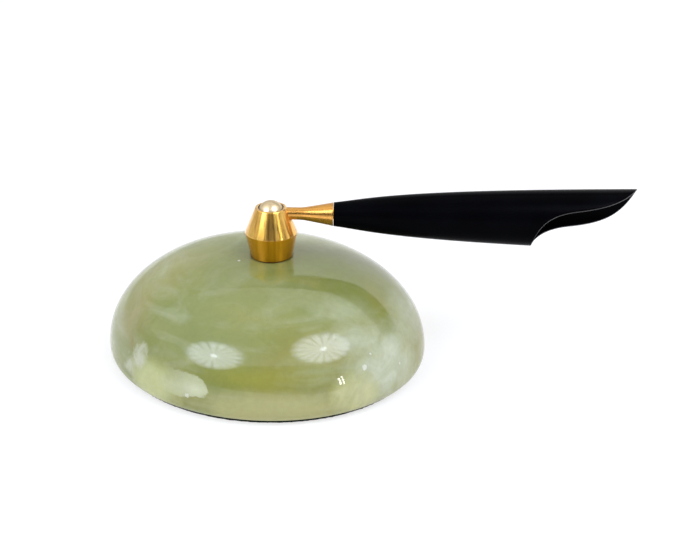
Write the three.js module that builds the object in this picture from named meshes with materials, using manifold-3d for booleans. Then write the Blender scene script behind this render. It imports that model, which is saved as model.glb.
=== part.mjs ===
// Desk pen holder: a polished green onyx dome carries a turned brass socket. A ball in the
// socket holds a flared brass stem, and a black plastic trumpet on the stem takes the pen.
// Millimetres, +Z up. The origin is on the desk, on the base's axis, and +X runs under the
// trumpet as it lies at rest.
import * as THREE from "three";
import { mergeVertices } from "three/addons/utils/BufferGeometryUtils.js";
import Module from "manifold-3d";

const wasm = await Module();
wasm.setup();

// ---------------------------------------------------------------- driving dimensions
const CONTACT_GAP = 0.05; // left between pieces that rest on each other
const RUNNING_GAP = 0.1; // left round a piece that turns or slides in another

const FELT = { radius: 47.8, thickness: 1.45 };

const STONE = {
  radius: 50.8, // at its widest
  footRadius: 49, // of the flat underside
  widestZ: 4.8,
  crownZ: 35.0,
  outPower: 2.42, // of the superellipse that the dome follows, outwards
  upPower: 1.97, // and upwards; with 2 and 2 it would be an ellipse
  seatRadius: 7.3, // flat ground on the crown for the socket
  seatZ: 34.6,
  holeRadius: 2.4,
  recessRadius: 13,
  recessCeilingZ: 12,
};

// The stone is ground by hand: it stands a little off its hole, and its plan is a slightly
// slewed oval. Both are one shear and shift of the round shape, which the felt follows.
const STONE_OFFSET_X = -2.1;
const STONE_OFFSET_Y = 1.65;
const STONE_SLEW = -0.072; // shift along X for each millimetre of Y

const STUD = { radius: 2.0, coreRadius: 1.7, pitch: 0.7, bottomZ: 2.6, topZ: 38.4 };
const STUD_THREAD = { lower: 9.4, upper: 3.1 }; // lengths of its two threaded ends

const GASKET = { radius: 6.2, thickness: 0.3 };
const FIBRE_WASHER = { radius: 9.0, thickness: 0.8 };
const STEEL_WASHER = { radius: 7.0, thickness: 1.0 };
const WAVE_WASHER = { radius: 4.6, thickness: 0.4, height: 1.1, waves: 3 };
const NUT = { acrossFlats: 7.0, height: 3.2, jamHeight: 2.2 };

const SOCKET = {
  footRadius: 6.7,
  ridgeRadius: 8.25,
  rimRadius: 4.9,
  mouthRadius: 3.8,
  seamZ: 42.8, // where the cap screws down on the foot, halfway up the ridge band
  ridgeBand: 0.16,
  rimZ: 51.0,
  threadRadius: 5.5,
  neckTopZ: 45.0,
  springBore: 3.6,
  springFloorZ: 38.6,
  edge: 0.2, // chamfer of its turned edges
  mouthChamfer: 0.35,
};
const SLOT = { width: 4.5, floorZ: 45.5 }; // lets the stem lie down on the +X side

const BALL = { radius: 4.1, z: 49.0, flatAt: 3.6, holeRadius: 1.55, holeFloor: 0.4 };
const CUP = { radius: 3.45, bottomZ: 43.6, rimZ: 46.0 };
const SPRING = { coilRadius: 2.6, wireRadius: 0.35, turns: 4 };

// Along the stem's own axis, from the ball's centre
const STEM = {
  tailRadius: 1.45,
  tailStart: 0.6,
  start: 3.7,
  radius: 1.95,
  flareStart: 10.0,
  flareEnd: 19.0,
  flareRadius: 3.6,
  collarRadius: 3.7,
  collarEnd: 19.5,
  spigotRadius: 1.5,
  spigotEnd: 26.0,
};
const INSERT = { radius: 2.6, waistRadius: 2.2, start: 19.9, end: 27.4 };
const TRUMPET = {
  start: 19.6,
  length: 95.2,
  rearRadius: 3.75,
  tipRadius: 9.65,
  wall: 1.3, // at the mouth
  floor: 13.0, // depth of the solid rear end, from start
  floorRadius: 3.3,
  insertHole: 2.7,
  insertHoleDepth: 8.0,
  lip: 61.8, // where the scooped mouth begins, from start
};

// How the holder lies at rest
const DROOP = THREE.MathUtils.degToRad(1.15); // the stem points this far below level
const ROLL = THREE.MathUtils.degToRad(37); // the trumpet's tongue leans this far towards +Y

const ROUND = 64; // facets round the base
const TURNED = 40; // facets round the socket and the trumpet
const SMALL = 24; // facets round the fasteners

// ---------------------------------------------------------------- materials
function material(colour, roughness, metalness) {
  return new THREE.MeshStandardMaterial({ color: colour, roughness, metalness });
}
const onyx = material(0xa9b27d, 0.12, 0);
const felt = material(0x1c2a1c, 0.95, 0);
const brass = material(0xd3a24a, 0.25, 1);
const polishedBrass = material(0xf0dcae, 0.08, 1);
const blackPlastic = material(0x0b0b0f, 0.22, 0);
const zincSteel = material(0xb4b6b8, 0.35, 1);
const springSteel = material(0x8d8f92, 0.3, 1);
const nylon = material(0xe6e2d4, 0.5, 0);
const fibre = material(0x6e2f22, 0.8, 0);

// ---------------------------------------------------------------- geometry helpers
// A solid of revolution about Z. Each point is [radius, height], and the outline runs
// anticlockwise: up the outside, and down the axis or the bore.
function turned(outline, segments) {
  const closed = outline[0][0] > 0 || outline[outline.length - 1][0] > 0;
  const points = outline.map(([r, z]) => new THREE.Vector2(r, z));
  if (closed) points.push(points[0].clone());
  return new THREE.LatheGeometry(points, segments).rotateX(Math.PI / 2);
}

function ring(innerRadius, outerRadius, bottom, top, segments = SMALL) {
  const outline = [
    [outerRadius, bottom],
    [outerRadius, top],
    [innerRadius, top],
    [innerRadius, bottom],
  ];
  return turned(outline, segments);
}

// Points on a curve, ends included, as [radius, height] pairs.
function along(curve, steps) {
  return curve.getPoints(steps).map((p) => [p.x, p.y]);
}

function solidOf(geometry) {
  const plain = geometry.clone();
  plain.deleteAttribute("normal");
  plain.deleteAttribute("uv");
  const merged = mergeVertices(plain, 1e-4);
  const mesh = new wasm.Mesh({
    numProp: 3,
    vertProperties: merged.attributes.position.array,
    triVerts: new Uint32Array(merged.index.array),
  });
  return new wasm.Manifold(mesh);
}

function geometryOf(solid) {
  const mesh = solid.getMesh();
  const geometry = new THREE.BufferGeometry();
  geometry.setAttribute("position", new THREE.BufferAttribute(mesh.vertProperties, 3));
  geometry.setIndex(new THREE.BufferAttribute(mesh.triVerts, 1));
  return geometry;
}

function cut(body, tool) {
  return geometryOf(solidOf(body).subtract(solidOf(tool)));
}

function common(a, b) {
  return geometryOf(solidOf(a).intersect(solidOf(b)));
}

function named(name, geometry, look) {
  const mesh = new THREE.Mesh(geometry, look);
  mesh.name = name;
  return mesh;
}

// ---------------------------------------------------------------- base
const handCut = new THREE.Matrix4().set(
  1, STONE_SLEW, 0, STONE_OFFSET_X,
  0, 1, 0, STONE_OFFSET_Y,
  0, 0, 1, 0,
  0, 0, 0, 1,
);

// A point of the dome's superellipse, from its widest line at turn 0 to its crown at turn 1.
function domePoint(turn) {
  const angle = (turn * Math.PI) / 2;
  const radius = STONE.radius * Math.cos(angle) ** (2 / STONE.outPower);
  const rise = (STONE.crownZ - STONE.widestZ) * Math.sin(angle) ** (2 / STONE.upPower);
  return [radius, STONE.widestZ + rise];
}

// What is ground and drilled out of the stone: the seat, the hole and the recess.
function stoneCutter() {
  const outline = [
    [0, -1],
    [STONE.recessRadius, -1],
    [STONE.recessRadius, STONE.recessCeilingZ],
    [STONE.holeRadius, STONE.recessCeilingZ],
    [STONE.holeRadius, STONE.seatZ],
    [STONE.seatRadius, STONE.seatZ],
    [STONE.seatRadius, STONE.crownZ + 1],
    [0, STONE.crownZ + 1],
  ];
  return turned(outline, TURNED);
}

function stoneBase() {
  const bottom = FELT.thickness + CONTACT_GAP;
  const skirt = new THREE.EllipseCurve(
    STONE.footRadius,
    STONE.widestZ,
    STONE.radius - STONE.footRadius,
    STONE.widestZ - bottom,
    -Math.PI / 2,
    0,
  );
  const steps = 18;
  const dome = Array.from({ length: steps - 1 }, (_, i) => domePoint((i + 1) / steps));
  const outline = [[0, bottom], ...along(skirt, 4), ...dome, [0, STONE.crownZ]];
  const blank = turned(outline, ROUND).applyMatrix4(handCut);
  return named("stone_base", cut(blank, stoneCutter()), onyx);
}

function feltPad() {
  const outline = [
    [0, 0],
    [FELT.radius, 0],
    [FELT.radius, FELT.thickness],
    [0, FELT.thickness],
  ];
  return named("felt_pad", turned(outline, ROUND).applyMatrix4(handCut), felt);
}

// ---------------------------------------------------------------- clamp through the stone
const BORE = STUD.radius + RUNNING_GAP; // of everything that the stud passes through

// A double-ended stud. Its thread is drawn as a ridge at each turn.
function studOutline() {
  const ridge = (z) => [
    [STUD.coreRadius, z],
    [STUD.radius, z + STUD.pitch / 2],
  ];
  const turns = (from, length) => {
    const count = Math.floor(length / STUD.pitch);
    return Array.from({ length: count }, (_, i) => ridge(from + i * STUD.pitch)).flat();
  };
  return [
    [0, STUD.bottomZ],
    ...turns(STUD.bottomZ, STUD_THREAD.lower),
    [STUD.coreRadius, STUD.bottomZ + STUD_THREAD.lower],
    [STUD.coreRadius, STUD.topZ - STUD_THREAD.upper - STUD.pitch],
    ...turns(STUD.topZ - STUD_THREAD.upper, STUD_THREAD.upper),
    [STUD.coreRadius, STUD.topZ],
    [0, STUD.topZ],
  ];
}

// A hexagonal nut whose corners are chamfered by a cone on each face.
function nut(bottom, height) {
  const corner = NUT.acrossFlats / Math.sqrt(3);
  const hexagon = new THREE.Shape();
  for (let i = 0; i < 6; i++) {
    const angle = (i * Math.PI) / 3;
    const point = [corner * Math.cos(angle), corner * Math.sin(angle)];
    if (i === 0) hexagon.moveTo(...point);
    else hexagon.lineTo(...point);
  }
  hexagon.closePath();
  const hole = new THREE.Path().absarc(0, 0, BORE, 0, 2 * Math.PI, true);
  hexagon.holes.push(hole);
  const options = { depth: height, bevelEnabled: false, curveSegments: SMALL / 2 };
  const prism = new THREE.ExtrudeGeometry(hexagon, options).translate(0, 0, bottom);
  const faceRadius = NUT.acrossFlats / 2 - 0.1;
  const slope = 0.4;
  const doubleCone = [
    [0, bottom],
    [faceRadius, bottom],
    [corner + 0.1, bottom + slope],
    [corner + 0.1, bottom + height - slope],
    [faceRadius, bottom + height],
    [0, bottom + height],
  ];
  return common(prism, turned(doubleCone, SMALL));
}

// A flat ring pressed into waves, which keeps a light grip between nut and stone.
function waveWasher(bottom) {
  const washer = ring(BORE, WAVE_WASHER.radius, bottom, bottom + WAVE_WASHER.thickness, TURNED);
  const lift = WAVE_WASHER.height - WAVE_WASHER.thickness;
  const position = washer.attributes.position;
  for (let i = 0; i < position.count; i++) {
    const angle = Math.atan2(position.getY(i), position.getX(i));
    const wave = (1 + Math.cos(WAVE_WASHER.waves * angle)) / 2;
    position.setZ(i, position.getZ(i) + lift * wave);
  }
  return washer;
}

// The stack that hangs from the recess's ceiling, listed downwards.
function clampStack() {
  let top = STONE.recessCeilingZ;
  const below = (height) => {
    const bottom = top - CONTACT_GAP - height;
    top = bottom;
    return bottom;
  };
  const fibreZ = below(FIBRE_WASHER.thickness);
  const steelZ = below(STEEL_WASHER.thickness);
  const waveZ = below(WAVE_WASHER.height);
  const nutZ = below(NUT.height);
  const jamZ = below(NUT.jamHeight);
  const fibreTop = fibreZ + FIBRE_WASHER.thickness;
  const steelTop = steelZ + STEEL_WASHER.thickness;
  return [
    named("recess_fibre_washer", ring(BORE, FIBRE_WASHER.radius, fibreZ, fibreTop), fibre),
    named("steel_washer", ring(BORE, STEEL_WASHER.radius, steelZ, steelTop), zincSteel),
    named("wave_washer", waveWasher(waveZ), springSteel),
    named("clamp_nut", nut(nutZ, NUT.height), zincSteel),
    named("jam_nut", nut(jamZ, NUT.jamHeight), zincSteel),
    named("mounting_stud", turned(studOutline(), SMALL), zincSteel),
  ];
}

// ---------------------------------------------------------------- socket
const FOOT_Z = STONE.seatZ + GASKET.thickness + 2 * CONTACT_GAP;

function footGasket() {
  const bottom = STONE.seatZ + CONTACT_GAP;
  const disc = ring(BORE, GASKET.radius, bottom, bottom + GASKET.thickness);
  return named("foot_gasket", disc, fibre);
}

// The lower, tapering half of the socket, with the threaded neck that the cap screws on.
function socketFoot() {
  const outline = [
    [SOCKET.footRadius - SOCKET.edge, FOOT_Z],
    [SOCKET.footRadius, FOOT_Z + SOCKET.edge],
    [SOCKET.ridgeRadius, SOCKET.seamZ - SOCKET.ridgeBand / 2],
    [SOCKET.ridgeRadius, SOCKET.seamZ - CONTACT_GAP],
    [SOCKET.threadRadius, SOCKET.seamZ - CONTACT_GAP],
    [SOCKET.threadRadius, SOCKET.neckTopZ - SOCKET.edge],
    [SOCKET.threadRadius - SOCKET.edge, SOCKET.neckTopZ],
    [SOCKET.springBore, SOCKET.neckTopZ],
    [SOCKET.springBore, SOCKET.springFloorZ],
    [BORE, SOCKET.springFloorZ],
    [BORE, FOOT_Z],
  ];
  return named("socket_foot", turned(outline, TURNED), brass);
}

// A slot with a round floor, open through the rim, as wide as the stem needs.
function slotTool() {
  const half = SLOT.width / 2;
  const outline = new THREE.Shape();
  outline.moveTo(half, SOCKET.rimZ + 1);
  outline.lineTo(-half, SOCKET.rimZ + 1);
  outline.lineTo(-half, SLOT.floorZ + half);
  outline.absarc(0, SLOT.floorZ + half, half, Math.PI, 2 * Math.PI, false);
  outline.closePath();
  const options = { depth: SOCKET.ridgeRadius + 1, bevelEnabled: false, curveSegments: 16 };
  const alongX = new THREE.Matrix4().makeBasis(
    new THREE.Vector3(0, 1, 0),
    new THREE.Vector3(0, 0, 1),
    new THREE.Vector3(1, 0, 0),
  );
  return new THREE.ExtrudeGeometry(outline, options).applyMatrix4(alongX);
}

// The upper half, which narrows to a rim smaller than the ball and so keeps it in.
function socketCap() {
  const seatRadius = BALL.radius + RUNNING_GAP;
  const bore = seatRadius + CONTACT_GAP;
  const mouthAngle = Math.acos(SOCKET.mouthRadius / seatRadius);
  const shoulderAngle = mouthAngle * 0.3;
  const seat = new THREE.EllipseCurve(
    0,
    BALL.z,
    seatRadius,
    seatRadius,
    mouthAngle,
    shoulderAngle,
    true,
  );
  const bottom = SOCKET.seamZ;
  const neckClear = SOCKET.threadRadius + RUNNING_GAP;
  const outline = [
    [neckClear, bottom],
    [SOCKET.ridgeRadius, bottom],
    [SOCKET.ridgeRadius, SOCKET.seamZ + SOCKET.ridgeBand / 2],
    [SOCKET.rimRadius, SOCKET.rimZ - SOCKET.edge],
    [SOCKET.rimRadius - SOCKET.edge, SOCKET.rimZ],
    [SOCKET.mouthRadius + SOCKET.mouthChamfer, SOCKET.rimZ],
    ...along(seat, 5),
    [bore, BALL.z],
    [bore, SOCKET.neckTopZ + RUNNING_GAP],
    [neckClear, SOCKET.neckTopZ + RUNNING_GAP],
  ];
  return named("socket_cap", cut(turned(outline, TURNED), slotTool()), brass);
}

// The nylon follower that the spring presses up against the ball.
function ballCup() {
  const hollow = BALL.radius + RUNNING_GAP;
  const rimAngle = Math.asin((CUP.rimZ - BALL.z) / hollow);
  const bowl = new THREE.EllipseCurve(0, BALL.z, hollow, hollow, rimAngle, -Math.PI / 2, true);
  const bowlPoints = along(bowl, 8).slice(0, -1);
  const outline = [
    [0, CUP.bottomZ],
    [CUP.radius, CUP.bottomZ],
    [CUP.radius, CUP.rimZ],
    ...bowlPoints,
    [0, BALL.z - hollow],
  ];
  return named("ball_cup", turned(outline, SMALL), nylon);
}

// A compression spring: a round wire swept along a helix.
function tensionSpring() {
  const wire = SPRING.wireRadius;
  const bottom = SOCKET.springFloorZ + wire + CONTACT_GAP;
  const top = CUP.bottomZ - wire - CONTACT_GAP;
  const Helix = class extends THREE.Curve {
    getPoint(t) {
      const angle = t * SPRING.turns * 2 * Math.PI;
      const x = SPRING.coilRadius * Math.cos(angle);
      const y = SPRING.coilRadius * Math.sin(angle);
      return new THREE.Vector3(x, y, bottom + t * (top - bottom));
    }
  };
  const section = new THREE.Shape().absarc(0, 0, wire, 0, 2 * Math.PI, false);
  const options = {
    steps: SPRING.turns * 16,
    curveSegments: 4,
    bevelEnabled: false,
    extrudePath: new Helix(),
  };
  return named("tension_spring", new THREE.ExtrudeGeometry(section, options), springSteel);
}

// ---------------------------------------------------------------- holder
// Each of these is turned about Z, with the ball's centre at the origin.

function pivotBall() {
  const flatRadius = Math.sqrt(BALL.radius ** 2 - BALL.flatAt ** 2);
  const flatAngle = Math.asin(BALL.flatAt / BALL.radius);
  const sphere = new THREE.EllipseCurve(0, 0, BALL.radius, BALL.radius, -Math.PI / 2, flatAngle);
  const outline = [
    [0, -BALL.radius],
    ...along(sphere, 16).slice(1, -1),
    [flatRadius, BALL.flatAt],
    [BALL.holeRadius, BALL.flatAt],
    [BALL.holeRadius, BALL.holeFloor],
    [0, BALL.holeFloor],
  ];
  return named("pivot_ball", turned(outline, TURNED), polishedBrass);
}

function stem() {
  const flare = new THREE.QuadraticBezierCurve(
    new THREE.Vector2(STEM.radius, STEM.flareStart - 1.2),
    new THREE.Vector2(STEM.radius, STEM.flareStart),
    new THREE.Vector2(STEM.radius + 0.2, STEM.flareStart + 1.2),
  );
  const chamfer = 0.12;
  const outline = [
    [0, STEM.tailStart],
    [STEM.tailRadius, STEM.tailStart],
    [STEM.tailRadius, STEM.start],
    [STEM.radius, STEM.start],
    ...along(flare, 3),
    [STEM.flareRadius, STEM.flareEnd],
    [STEM.collarRadius, STEM.flareEnd + chamfer],
    [STEM.collarRadius, STEM.collarEnd - chamfer],
    [STEM.collarRadius - chamfer, STEM.collarEnd],
    [STEM.spigotRadius, STEM.collarEnd],
    [STEM.spigotRadius, STEM.spigotEnd],
    [0, STEM.spigotEnd],
  ];
  return named("stem", turned(outline, TURNED), brass);
}

// The brass bush moulded into the trumpet's rear end. The stem's spigot screws into it.
function trumpetInsert() {
  const bore = STEM.spigotRadius + RUNNING_GAP;
  const third = (INSERT.end - INSERT.start) / 3;
  const outline = [
    [INSERT.radius, INSERT.start],
    [INSERT.radius, INSERT.start + third],
    [INSERT.waistRadius, INSERT.start + third],
    [INSERT.waistRadius, INSERT.end - third],
    [INSERT.radius, INSERT.end - third],
    [INSERT.radius, INSERT.end],
    [bore, INSERT.end],
    [bore, INSERT.start],
  ];
  return named("trumpet_insert", turned(outline, SMALL), brass);
}

// The trumpet's outline swells quickly from the stem and then flares slowly to the tip.
function trumpetOutside() {
  return new THREE.CubicBezierCurve(
    new THREE.Vector2(TRUMPET.rearRadius, 0),
    new THREE.Vector2(5.0, 11.1),
    new THREE.Vector2(8.1, 17.7),
    new THREE.Vector2(TRUMPET.tipRadius, TRUMPET.length),
  );
}

// The bore narrows from the mouth to a flat floor, so that a pen's point stays clear.
function trumpetBore() {
  return new THREE.CubicBezierCurve(
    new THREE.Vector2(TRUMPET.tipRadius - TRUMPET.wall, TRUMPET.length),
    new THREE.Vector2(7.4, 48.0),
    new THREE.Vector2(5.4, 29.0),
    new THREE.Vector2(TRUMPET.floorRadius, TRUMPET.floor),
  );
}

// What is cut off to leave the scooped mouth: everything below an S-curve that climbs from
// the lip, runs level along the tongue and climbs again to the tip. It is drawn looking
// across the trumpet, with x along it and y towards the tongue.
function scoopTool() {
  const tip = TRUMPET.length;
  const beyond = TRUMPET.tipRadius + 3;
  const outline = new THREE.Shape();
  outline.moveTo(TRUMPET.lip - 0.8, -beyond);
  outline.lineTo(TRUMPET.lip, -8.6);
  outline.bezierCurveTo(64.0, -3.6, 68.0, -1.3, 74.5, -0.3);
  outline.bezierCurveTo(84.0, 0.9, 90.5, 2.8, tip, TRUMPET.tipRadius - 0.05);
  outline.lineTo(tip + 2, beyond);
  outline.lineTo(tip + 2, -beyond);
  outline.closePath();
  const options = { depth: 2 * beyond, bevelEnabled: false, curveSegments: 10 };
  const across = new THREE.Matrix4().makeBasis(
    new THREE.Vector3(0, 0, 1),
    new THREE.Vector3(-1, 0, 0),
    new THREE.Vector3(0, -1, 0),
  );
  return new THREE.ExtrudeGeometry(outline, options).translate(0, 0, -beyond).applyMatrix4(across);
}

function trumpet() {
  const outline = [
    ...along(trumpetOutside(), 16),
    ...along(trumpetBore(), 10),
    [0, TRUMPET.floor],
    [0, TRUMPET.insertHoleDepth],
    [TRUMPET.insertHole, TRUMPET.insertHoleDepth],
    [TRUMPET.insertHole, 0],
  ];
  // The outline touches the axis between the bore's floor and the insert's hole.
  const points = [...outline, outline[0]].map(([r, z]) => new THREE.Vector2(r, z));
  const shell = new THREE.LatheGeometry(points, TURNED).rotateX(Math.PI / 2);
  const mesh = named("pen_trumpet", cut(shell, scoopTool()), blackPlastic);
  mesh.position.z = TRUMPET.start;
  mesh.rotation.z = -ROLL;
  return mesh;
}

// ---------------------------------------------------------------- assembly
const socket = new THREE.Group();
socket.add(footGasket(), socketFoot(), socketCap(), ballCup(), tensionSpring());

// The holder's own Z axis is the stem's. It swings down from upright to lie along +X.
const holder = new THREE.Group();
holder.add(pivotBall(), stem(), trumpetInsert(), trumpet());
holder.position.z = BALL.z;
holder.rotation.y = Math.PI / 2 + DROOP;

const penHolder = new THREE.Group();
penHolder.add(stoneBase(), feltPad(), ...clampStack(), socket, holder);

export default penHolder;
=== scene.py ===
"""Desk pen holder: green onyx dome, turned brass ball socket, flared stem and black trumpet.

Shapes are drawn in millimetres and made in metres, in the frame's own axes: +Z up, +X along
the trumpet as it lies at rest, origin on the desk under the socket.
"""
import bpy
import math
from mathutils import Matrix, Quaternion, Vector, noise


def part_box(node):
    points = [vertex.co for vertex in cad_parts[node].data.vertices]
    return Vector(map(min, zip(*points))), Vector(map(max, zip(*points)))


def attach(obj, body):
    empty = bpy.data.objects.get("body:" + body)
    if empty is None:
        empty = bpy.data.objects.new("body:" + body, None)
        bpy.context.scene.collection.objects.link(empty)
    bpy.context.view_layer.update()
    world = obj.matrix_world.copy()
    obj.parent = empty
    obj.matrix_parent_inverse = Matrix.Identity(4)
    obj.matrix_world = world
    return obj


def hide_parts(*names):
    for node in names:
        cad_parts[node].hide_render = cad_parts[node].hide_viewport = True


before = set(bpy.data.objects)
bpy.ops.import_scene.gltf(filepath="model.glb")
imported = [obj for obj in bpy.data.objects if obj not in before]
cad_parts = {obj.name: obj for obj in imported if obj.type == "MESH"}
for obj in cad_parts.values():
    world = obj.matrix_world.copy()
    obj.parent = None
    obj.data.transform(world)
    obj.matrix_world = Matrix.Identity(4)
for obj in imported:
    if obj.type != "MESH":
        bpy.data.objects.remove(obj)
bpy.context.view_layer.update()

MM = 0.001

# ---------------------------------------------------------------- sizes in millimetres
STONE_RADIUS = 50.8
STONE_FOOT_RADIUS = 49.0
STONE_BOTTOM_Z = 1.5
WIDEST_Z = 4.8
CROWN_Z = 35.0
DOME_OUT_POWER = 2.42  # of the superellipse that the dome follows, outwards
DOME_UP_POWER = 1.97  # and upwards
SEAT_RADIUS = 7.0
SEAT_Z = 34.6
STONE_HOLE_RADIUS = 2.4
RECESS_RADIUS = 13.0
RECESS_CEILING_Z = 12.0
STONE_OFFSET_X = -2.1  # the hand-cut dome is not quite centred on its hole
STONE_OFFSET_Y = 1.65
STONE_SLEW = -0.072  # and not quite round: each millimetre of Y moves it this far along X
STONE_WAVER = 0.16  # height of the unevenness that hand polishing leaves

FELT_RADIUS = 47.8
FELT_TOP_Z = 1.45

FOOT_RADIUS = 6.7
RIDGE_RADIUS = 8.25
RIM_RADIUS = 4.9
SEAM_Z = 42.8
SEAM_GAP = 0.05
RIDGE_BAND = 0.16
RIM_Z = 51.0
NECK_RADIUS = 5.5
NECK_TOP_Z = 45.0
SPRING_BORE = 3.6
SPRING_FLOOR_Z = 38.6
STUD_BORE = 2.1
SLOT_WIDTH = 4.5
SLOT_FLOOR_Z = 45.5

BALL_RADIUS = 4.1
BALL_Z = 49.0
BALL_FLAT = 3.6
BALL_HOLE = 1.55
BALL_HOLE_FLOOR = 0.4
SEAT_CLEARANCE = 0.1
MOUTH_RADIUS = 3.8

STEM_TAIL = 1.45
STEM_RADIUS = 1.95
STEM_START = 3.7
FLARE_START = 10.0
FLARE_END = 19.0
FLARE_RADIUS = 3.6
COLLAR_RADIUS = 3.7
COLLAR_END = 19.5
SPIGOT_RADIUS = 1.5
SPIGOT_END = 26.0

TRUMPET_START = 19.6
TRUMPET_LENGTH = 95.2
TRUMPET_OUTSIDE = [(3.75, 0.0), (5.0, 11.1), (8.1, 17.7), (9.65, TRUMPET_LENGTH)]
TRUMPET_BORE = [(3.3, 13.0), (5.4, 29.0), (7.4, 48.0), (8.35, TRUMPET_LENGTH)]
INSERT_HOLE = 2.7
INSERT_HOLE_DEPTH = 8.0
# The scooped mouth's edge in side view, as (distance along the trumpet, height above its axis)
SCOOP = [
    [(61.0, -12.5), (61.3, -11.2), (61.5, -9.9), (61.8, -8.6)],
    [(61.8, -8.6), (64.0, -3.6), (68.0, -1.3), (74.5, -0.3)],
    [(74.5, -0.3), (84.0, 0.9), (90.5, 2.8), (TRUMPET_LENGTH, 9.6)],
]
LIP_ROUNDING = 0.32
FINE_TURNING = 192  # sides of the brass pieces' rings
SMALL_TURNING = 128  # and of the ball, the stem and the drill
STONE_TURNING = 256
FELT_TURNING = 720
TRUMPET_SIDES = 240
TRUMPET_ROWS = 56

# ---------------------------------------------------------------- the room, in metres and degrees
VIEW_ELEVATION = 23.9
VIEW_DISTANCE = 0.508
VIEW_TARGET = Vector((21.6, 0.0, 29.5)) * MM
LENS = 84.7
ROOM_LIGHT = 0.13
FLOOR_GLOW = 0.68
CEILING_Z = 1.5
CEILING_LIGHT = 1.05
CARD_Y = 0.66
WALL_Z = 0.88
SWEEP_Y = -1.6
UMBRELLA_LIGHT = 17.0
UMBRELLA_DISTANCE = 0.72
UMBRELLA_RIBS = 16.0
STRIP_LIGHT = 14.0
STRIP_DISTANCE = 2.0
# (azimuth, elevation) of each strip light's two ends, and its width
STRIPS = [((44.8, 16.4), (45.3, 6.4), 1.9), ((48.0, 17.9), (48.4, 6.0), 1.5)]

DROOP = math.radians(1.15)
ROLL = math.radians(37)
HOLDER = Matrix.Translation((0, 0, BALL_Z)) @ Matrix.Rotation(math.pi / 2 + DROOP, 4, "Y")
TRUMPET = HOLDER @ Matrix.Rotation(-ROLL, 4, "Z") @ Matrix.Translation((0, 0, TRUMPET_START))


# ---------------------------------------------------------------- curves and meshes
def bezier(points, t):
    """The point at t, from 0 to 1, on a cubic Bezier curve."""
    a, b, c, d = ((1 - t) ** 3, 3 * (1 - t) ** 2 * t, 3 * (1 - t) * t**2, t**3)
    p, q, r, s = points
    return tuple(a * p[i] + b * q[i] + c * r[i] + d * s[i] for i in range(2))


def arc(radius, centre, start, end, steps):
    """Points (r, z) on a circle about (0, centre), angles in radians above the horizontal."""
    angles = [start + (end - start) * i / steps for i in range(steps + 1)]
    return [(radius * math.cos(a), centre + radius * math.sin(a)) for a in angles]


def corner(point, before, after, radius, steps=4):
    """Points that round a corner off, where point lies between before and after."""
    p = Vector(point)
    to_before = Vector(before) - p
    to_after = Vector(after) - p
    a = p + to_before.normalized() * min(radius, to_before.length * 0.45)
    b = p + to_after.normalized() * min(radius, to_after.length * 0.45)
    return bend(a, p, b, steps)


def bend(start, middle, end, steps=4):
    """Points on the curve that leaves start towards middle and arrives at end."""
    points = []
    for i in range(steps + 1):
        t = i / steps
        points.append(tuple((1 - t) ** 2 * start + 2 * t * (1 - t) * middle + t**2 * end))
    return points


def rounded(outline, closed=False):
    """An outline of (r, z) or (r, z, radius) points, with each corner that has a radius rounded."""
    points = []
    for i, point in enumerate(outline):
        ends = not closed and i in (0, len(outline) - 1)
        if len(point) == 2 or ends:
            points.append(point[:2])
            continue
        before = outline[i - 1][:2]
        after = outline[(i + 1) % len(outline)][:2]
        points += corner(point[:2], before, after, point[2])
    return points


def add_piece(name, vertices, faces, uvs, matrix=Matrix.Identity(4), sharp=35.0):
    """A smooth-shaded mesh object, given in millimetres. uvs has one pair for each face corner."""
    mesh = bpy.data.meshes.new(name)
    scale = Matrix.Scale(MM, 4)
    mesh.from_pydata([(scale @ matrix) @ Vector(v) for v in vertices], [], faces)
    layer = mesh.uv_layers.new(name="UVMap")
    for loop, uv in zip(layer.data, uvs):
        loop.uv = uv
    mesh.validate()
    piece = bpy.data.objects.new(name, mesh)
    bpy.context.scene.collection.objects.link(piece)
    shade(mesh, sharp)
    return piece


def shade(mesh, sharp):
    """Smooth shading, with edges steeper than sharp degrees kept crisp."""
    mesh.shade_smooth()
    normals = [polygon.normal for polygon in mesh.polygons]
    beside = {}
    for polygon in mesh.polygons:
        for key in polygon.edge_keys:
            beside.setdefault(key, []).append(polygon.index)
    limit = math.cos(math.radians(sharp))
    for edge in mesh.edges:
        pair = beside.get(edge.key, [])
        if len(pair) == 2:
            edge.use_edge_sharp = normals[pair[0]].dot(normals[pair[1]]) < limit


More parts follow.
